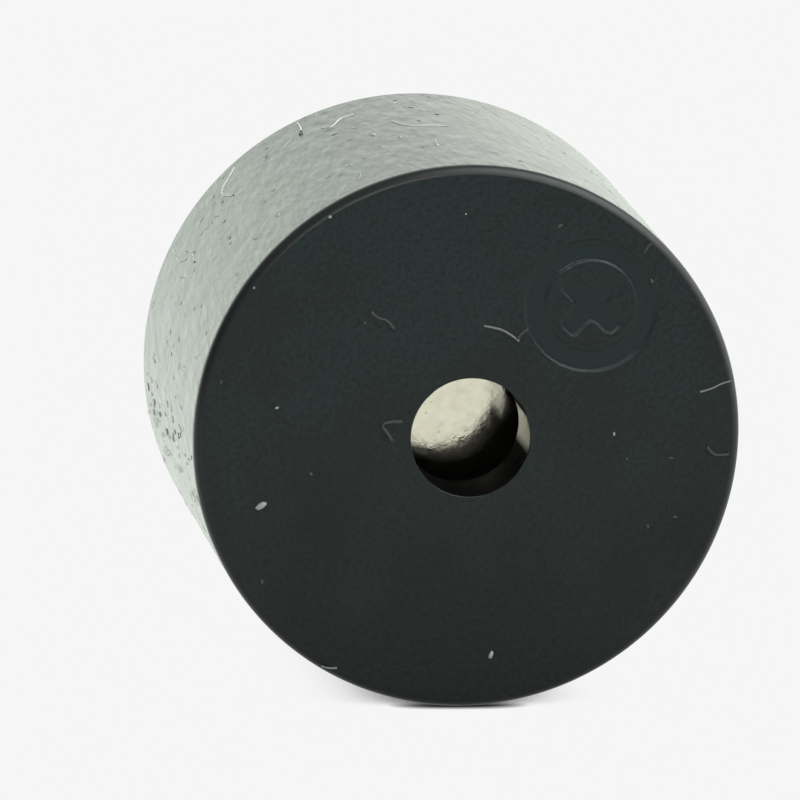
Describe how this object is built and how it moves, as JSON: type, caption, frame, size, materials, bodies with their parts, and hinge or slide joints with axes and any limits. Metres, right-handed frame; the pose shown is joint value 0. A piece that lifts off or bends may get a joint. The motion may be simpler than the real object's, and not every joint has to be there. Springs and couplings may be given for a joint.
{
  "type": "piezo buzzer",
  "caption": "Small round self-driven piezo buzzer: black moulded can with a central sound hole over a metal sounder plate, and straight pins for soldering into a circuit board.",
  "frame": {"origin": "centre of the rim that seats on a circuit board", "axes": "+Z along the can's axis, out of the sound hole; +X towards the positive pin; the pins point along -Z"},
  "size_m": [0.012, 0.012, 0.0175],
  "materials": {
    "black_moulding": "moulded black plastic, fine grained face and smoother side, light scuffs and dust",
    "nickel_alloy": "bright rolled nickel-iron strip",
    "ceramic_disc": "fired, matt",
    "silver_film": "printed and fired silver, satin",
    "silicone": "cured silicone, satin",
    "tinned_wire": "tinned",
    "solder": "solder, satin",
    "board_laminate": "resin-bonded laminate, bare",
    "copper": "etched copper",
    "epoxy_moulding": "moulded epoxy, matt",
    "chip_ceramic": "alumina, matt",
    "tinned_pin": "tin-plated steel wire",
    "potting_resin": "poured resin, glossy"
  },
  "bodies": {
    "root": {"housing": "black_moulding", "vibration_plate": "nickel_alloy", "piezo_ceramic": "ceramic_disc", "main_electrode": "silver_film", "feedback_electrode": "silver_film", "plate_adhesive": "silicone", "plate_lead": "tinned_wire", "main_lead": "tinned_wire", "feedback_lead": "tinned_wire", "lead_solder": "solder", "circuit_board": "board_laminate", "copper_tracks": "copper", "driver_transistor": "epoxy_moulding", "transistor_legs": "tinned_wire", "bias_resistor": "chip_ceramic", "collector_resistor": "chip_ceramic", "feedback_resistor": "chip_ceramic", "resistor_terminals": "solder", "positive_pin": "tinned_pin", "negative_pin": "tinned_pin", "pin_solder": "solder", "base_potting": "potting_resin"}
  },
  "joints": []
}
